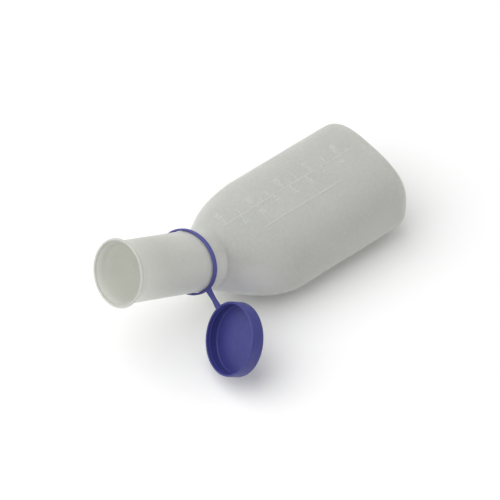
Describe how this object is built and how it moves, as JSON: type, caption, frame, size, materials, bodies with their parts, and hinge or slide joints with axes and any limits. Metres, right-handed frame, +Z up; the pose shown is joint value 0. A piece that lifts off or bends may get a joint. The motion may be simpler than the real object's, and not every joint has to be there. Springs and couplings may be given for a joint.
{
  "type": "urine bottle",
  "caption": "Lying urine bottle with an oval body, upward angled round neck, flared mouth, and a push-on cap held by a strap to a loose neck ring.",
  "frame": {"origin": "middle of the flat on the bottle's underside that it rests on", "axes": "+Z up out of the rest flat; the body's length runs along Y with the base towards +Y and the mouth towards -Y and up; the cap hangs on the +X side"},
  "size_m": [0.1546, 0.278, 0.1232],
  "materials": {
    "bottle_plastic": "milky translucent natural polyethylene, satin, fine moulding texture",
    "closure_plastic": "blue flexible polyethylene, satin"
  },
  "bodies": {
    "bottle": {"bottle": "bottle_plastic"},
    "neck_ring": {"neck_ring": "closure_plastic"},
    "strap_root": {"strap_root": "closure_plastic"},
    "strap": {"strap": "closure_plastic"},
    "cap": {"cap": "closure_plastic"}
  },
  "joints": [
    {"name": "ring_slide", "type": "slide", "parent": "bottle", "child": "neck_ring", "axis": [0, -0.8829, 0.4695], "range_m": [0, 0.07142]},
    {"name": "ring_swivel", "type": "hinge", "parent": "neck_ring", "child": "strap_root", "pos_m": [0, -0.13182, 0.05875], "axis": [0, -0.8829, 0.4695], "continuous": true},
    {"name": "strap_root_bend", "type": "hinge", "parent": "strap_root", "child": "strap", "pos_m": [0.02913, -0.13679, 0.04939], "axis": [-0.342, -0.4412, -0.8297], "range_deg": [0, 86.44]},
    {"name": "cap_bend", "type": "hinge", "parent": "strap", "child": "cap", "pos_m": [0.04125, -0.13887, 0.04549], "axis": [-0.342, -0.4412, -0.8297], "range_deg": [0, 82.06]}
  ],
  "couplings": [
    {"joint": "strap_root_bend", "follows": "ring_slide", "rad_per_m": 21.125},
    {"joint": "cap_bend", "follows": "ring_slide", "rad_per_m": 20.052}
  ]
}
